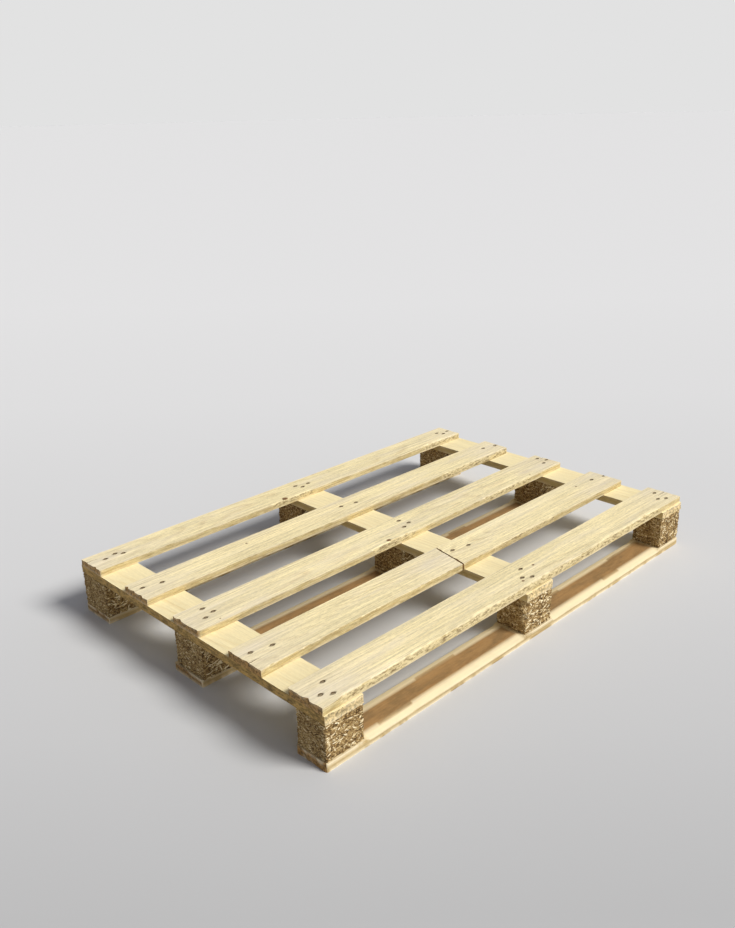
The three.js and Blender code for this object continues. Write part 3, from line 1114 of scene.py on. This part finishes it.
def chip_matrix(half, axis, side, rng):
    """Where one chip lies on an upright side, and how it is turned, tilted and sized."""
    other = 1 - axis
    kind = COARSE if axis == 1 else FINE
    length = rng.uniform(4, kind["length"]) * MM
    width = rng.uniform(1.2, kind["width"]) * MM
    spot = Vector((0, 0, rng.uniform(-1, 1) * (half.z - CHIP_MARGIN)))
    spot[other] = rng.uniform(-1, 1) * (half[other] - CHIP_MARGIN)
    spot[axis] = side * (half[axis] - rng.uniform(*kind["sunk"]) * MM)
    upright = Matrix.Rotation(math.pi / 2, 4, "Y" if axis == 0 else "X")
    spin = Matrix.Rotation(rng.gauss(0, 0.6) + kind["turned"], 4, "Z")
    tilt = Matrix.Rotation(math.radians(rng.gauss(0, kind["tilt"])), 4, "X")
    size = Matrix.Diagonal((length, width, CHIP_THICKNESS, 1))
    return Matrix.Translation(spot) @ upright @ spin @ tilt @ size


def lay_chips(half, seed):
    bm = many_chips()
    number = bm.verts.layers.int["number"]
    tone_layer = bm.faces.layers.float.new("chip")
    rng = random.Random(seed)
    sides = [(axis, side) for axis in (0, 1) for side in (-1, 1)]
    laid = []
    for index in range(2**DOUBLINGS):
        axis, side = sides[index % len(sides)]
        tone = 0.15 + 0.85 * rng.random() ** 1.6 if axis == 1 else 0.35 + 0.35 * rng.random()
        laid.append((chip_matrix(half, axis, side, rng), rng.uniform(-0.25, 0.25), tone))
    for face in bm.faces:
        face[tone_layer] = laid[face.verts[0][number]][2]
    for vert in bm.verts:
        matrix, bend, _ = laid[vert[number]]
        x, y, z = vert.co
        y = y * (1 - 2.2 * x * x) + bend * (4 * x * x - 0.5)
        vert.co = matrix @ Vector((x, y, z * (1 - abs(x))))
    return bm


print("chips are up to", COARSE["length"], "mm long")

# %% [markdown]
# ## Pressed-chip blocks
#
# A block is a cube divided every few millimetres. A plain bevel would look cast, so noise
# swells and hollows its faces and crumbles its edges. Then the chips are laid on, thin and
# slightly tilted, and the corners that forks have struck are pushed in.


# %% Pressed-chip blocks
BLOCK_STEP = 2.4 * MM
CHIP_BOUND = Vector((0.15, 0.15, 0.2)) * MM
LUMP_DEPTH = 0.75
FRAY_DEPTH = 2.2
FRAY_REACH = 5 * MM
# The corner (x, y) that is pushed in, and how far at the top and at the foot.
CRUSHED = {
    "block_middle_right": [(-1, -1, 17 * MM, 3 * MM)],
    "block_near_right": [(-1, -1, 5 * MM, 2 * MM), (1, -1, 4 * MM, 3 * MM)],
    "block_near_centre": [(-1, -1, 4 * MM, 2 * MM)],
    "block_near_left": [(-1, -1, 3 * MM, 2 * MM)],
}


def crushed(p, half, damage, seed):
    """Where a point of a block ends up after knocks on its upright corners."""
    for side_x, side_y, at_top, at_foot in damage:
        depth = at_foot + (at_top - at_foot) * ease(p.z, -half.z, half.z)
        depth *= 0.8 + 0.7 * noise.noise((p.z * 60, seed, side_x))
        gap = (half.x - p.x * side_x) + (half.y - p.y * side_y)
        if gap < depth:
            push = (depth - gap) / 2
            p = p - Vector((side_x * push, side_y * push, 0))
    return p


def block_body(half, seed):
    """The pressed mass under the chips, with swollen faces and crumbling corners."""
    bm = bmesh.new()
    bmesh.ops.create_cube(bm, size=2)
    bmesh.ops.scale(bm, vec=half, verts=bm.verts)
    for axis in range(3):
        cuts = int(2 * half[axis] / BLOCK_STEP)
        edges = edges_along(bm.edges, axis)
        bmesh.ops.subdivide_edges(bm, edges=edges, cuts=cuts, use_grid_fill=True)
    tone_layer = bm.faces.layers.float.new("chip")
    rng = random.Random(seed)
    for face in bm.faces:
        face[tone_layer] = 0.12 + 0.4 * rng.random()
    for vert in bm.verts:
        p = vert.co.copy()
        crumble = 1.0 * MM + 5.0 * MM * abs(noise.noise(p * 55 + Vector((seed, 0, 0))))
        p.x, p.y = round_off(p.x, p.y, half.x, half.y, crumble)
        q = p * 150 + Vector((seed * 3, 0, 0))
        lump = 0.4 * noise.noise(p * 60 + Vector((0, seed, 0)))
        lump += 0.8 * noise.noise(q) + 0.5 * noise.noise(q * 2.3)
        sides = Vector((p.x * (abs(p.x) > half.x - MM), p.y * (abs(p.y) > half.y - MM), 0))
        if sides.length > 0:
            frayed = FRAY_DEPTH * ease(abs(p.z), half.z - FRAY_REACH, half.z)
            frayed *= 0.6 + noise.noise(p * 90)
            p -= sides.normalized() * MM * (LUMP_DEPTH + 0.6 * lump + frayed)
        vert.co = p
    return bm


def chip_block(half, seed, damage):
    bm = block_body(half, seed)
    slivers = lay_chips(half, seed)
    bound = half - CHIP_BOUND
    for vert in slivers.verts:
        vert.co = Vector(max(-b, min(b, c)) for b, c in zip(bound, vert.co))
    loose = bpy.data.meshes.new("loose_chips")
    slivers.to_mesh(loose)
    slivers.free()
    bm.from_mesh(loose)
    bpy.data.meshes.remove(loose)
    for vert in bm.verts:
        vert.co = crushed(vert.co, half, damage, seed)
    return bm


for index, node in enumerate(n for n in sorted(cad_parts) if n.startswith("block_")):
    middle, half = place_of(node)
    bm = chip_block(half, 31 + index, CRUSHED.get(node, ()))
    bmesh.ops.translate(bm, vec=middle, verts=bm.verts)
    piece = finish_piece(bm, node + "_piece", chips, node)
    print(node, len(piece.data.polygons), "faces")

# %% [markdown]
# ## Nails
#
# A driven nail shows only its head. It could be a flat disc, but this one is whole: a profile
# spun round its axis, with a slight dome. The nails of the second and fourth boards have only
# a stringer under them, so they come out below and are hammered flat. They are spun in the
# same way, and what sticks out is then moved over sideways.

# %% Nails
SHANK_RADIUS = 1.55 * MM
NAIL_STEPS = 20
POINT = 5 * MM
POINT_RADIUS = 0.15 * MM
CLINCH_RISE = -0.6
BOTTOM_NAIL_TIP = 60 * MM


def spun_nail(x, y, head, foot):
    """A nail with its head's top at one height and its point at the other."""
    inward = math.copysign(1, foot - head)
    bm = bmesh.new()
    under = head + inward * HEAD_THICKNESS
    profile = [
        (0, head), (0.5 * HEAD_RADIUS, head + inward * 0.05 * MM),
        (0.85 * HEAD_RADIUS, head + inward * 0.2 * MM), (HEAD_RADIUS, head + inward * 0.6 * MM),
        (HEAD_RADIUS, under), (SHANK_RADIUS, under + inward * 0.4 * MM),
        (SHANK_RADIUS, foot - inward * POINT), (POINT_RADIUS, foot),
    ]
    verts = [bm.verts.new((r, 0, z)) for r, z in profile]
    edges = [bm.edges.new(pair) for pair in zip(verts, verts[1:])]
    bmesh.ops.spin(
        bm, geom=verts + edges, cent=(0, 0, 0), axis=(0, 0, 1), angle=2 * math.pi,
        steps=NAIL_STEPS, use_merge=True,
    )
    bmesh.ops.remove_doubles(bm, verts=bm.verts, dist=1e-6)
    rim = [e for e in bm.edges if e.is_boundary]
    bmesh.ops.holes_fill(bm, edges=rim, sides=0)
    bmesh.ops.recalc_face_normals(bm, faces=bm.faces)
    bmesh.ops.translate(bm, vec=(x, y, 0), verts=bm.verts)
    return bm


def clinched_nail(x, y, head, bend, tip_x):
    """A nail whose end is hammered flat along X under the stringer."""
    bm = spun_nail(x, y, head, bend - POINT)
    way = math.copysign(1, tip_x - x)
    slide = abs(tip_x - x)
    for vert in bm.verts:
        below = bend + SHANK_RADIUS - vert.co.z
        if below > 0:
            vert.co.z = bend + (vert.co.x - x) * CLINCH_RISE * way
            vert.co.x += way * slide * min(1, below / POINT)
    return bm


for node, head in NAILS.items():
    low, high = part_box(node)
    reach = max(low[0] - head.x, high[0] - head.x, key=abs)
    clinched = abs(reach) > HEAD_RADIUS + MM
    if clinched:
        bend = low[2] + SHANK_RADIUS
        bm = clinched_nail(head.x, head.y, high[2], bend, head.x + reach)
    else:
        bm = spun_nail(head.x, head.y, high[2], low[2])
    finish_piece(bm, node + "_piece", steel, node)

for row in BOTTOMS:
    for index, (x, y) in enumerate(bottom_nail_places(row)):
        bm = spun_nail(x, y, HEAD_SINK, BOTTOM_NAIL_TIP)
        finish_piece(bm, f"bottom_nail_{row}_{index}_piece", steel)
    print(index + 1, "nails from below under the row", row)
print(len(NAILS), "nails from above")

# %% [markdown]
# ## Floor
#
# A pale matt floor runs far out in every direction. Seen from the main camera it would look
# flat if it were one grey, so a painted light falloff grades it, darker in front and paler
# behind. Far away it fades to its palest tone on all sides, nearly that of the sky, so no
# hard edge shows.

# %% Floor
FLOOR_TONES = (
    (-1.0, "bbbbbb"), (-0.6, "c7c7c7"), (0.0, "d2d2d2"), (1.4, "dbdbdb"), (3.2, "dfdfdf"),
)
FLOOR_FADE = (3.5, 11.0)
FLOOR_RADIUS = 80


def studio_floor():
    """A round sheet of matt paper, with a painted light falloff from mid grey at the front to pale at
    the back.
    """
    bm = bmesh.new()
    bmesh.ops.create_circle(bm, cap_ends=True, segments=96, radius=FLOOR_RADIUS)
    s = Shader(bpy.data.materials.new("floor"))
    # Painted light falloff: darker towards the camera, paler away from it, along the camera's heading.
    ahead = (math.sin(CAMERA_HEADING), math.cos(CAMERA_HEADING), 0)
    away = s.vector("DOT_PRODUCT", s.place, ahead)
    first, last = FLOOR_TONES[0][0], FLOOR_TONES[-1][0]
    share = s.step(away, first, last, "LINEAR")
    stops = [((reach - first) / (last - first), paint(tone)) for reach, tone in FLOOR_TONES]
    far = s.step(s.vector("LENGTH", s.place), *FLOOR_FADE)
    colour = s.mix(far, s.ramp(share, *stops), paint(FLOOR_TONES[-1][1]))
    s.feed(s.surface.inputs["Base Color"], colour)
    s.surface.inputs["Roughness"].default_value = 0.9
    s.surface.inputs["Specular IOR Level"].default_value = 0.0
    floor = link_mesh(bm, "floor")
    floor.data.materials.append(s.owner)


studio_floor()
print("floor", 2 * FLOOR_RADIUS, "metres across")

# %% [markdown]
# ## Light
#
# Area lamps could stand round the pallet, but one sun with a very wide disc lights it evenly
# and keeps its shadows soft. It stands to the right and a little towards the camera, about
# 44 degrees up. A dim sky, brighter on the sun's side, fills the shade.


# %% Light
LIGHT = (0.45, -0.95, 1.0)
SUN_SPREAD = math.radians(24)
SUN_STRENGTH = 3.45
SUN_COLOUR = (1.0, 0.985, 0.955)
HORIZON_BAND = (0.11, 0.17)
HORIZON_TONE, SKY_DIM, SKY_BRIGHT = paint("e2e2e2"), paint("49494d"), paint("b8bac2")


def soft_sun():
    data = bpy.data.lights.new("sun", "SUN")
    data.angle = SUN_SPREAD
    data.energy = SUN_STRENGTH
    data.color = SUN_COLOUR
    lamp = bpy.data.objects.new("sun", data)
    lamp.matrix_world = Vector(LIGHT).to_track_quat("Z", "Y").to_matrix().to_4x4()
    bpy.context.collection.objects.link(lamp)


def dim_sky():
    """A sky with a pale band at the horizon, and above it a glow on the side of the light."""
    s = Shader(bpy.data.worlds.new("sky"), "Background", "Generated")
    glow = s.vector("DOT_PRODUCT", s.place, Vector(LIGHT).normalized())
    above = s.step(s.axes(s.place)[2], *HORIZON_BAND, "LINEAR")
    sky = s.ramp(glow, (0.0, SKY_DIM), (1.0, SKY_BRIGHT))
    s.feed(s.surface.inputs["Color"], s.mix(above, HORIZON_TONE, sky))
    bpy.context.scene.world = s.owner


soft_sun()
dim_sky()
height_of_sun = math.degrees(math.atan2(LIGHT[2], math.hypot(LIGHT[0], LIGHT[1])))
print("sun stands", round(height_of_sun), "degrees up")

# %% [markdown]
# ## Sizes
#
# The worked pieces have to keep to the size of the packed model. Only the packed model's box
# is printed, at the start.

# %% [markdown]
# ## Finish
#
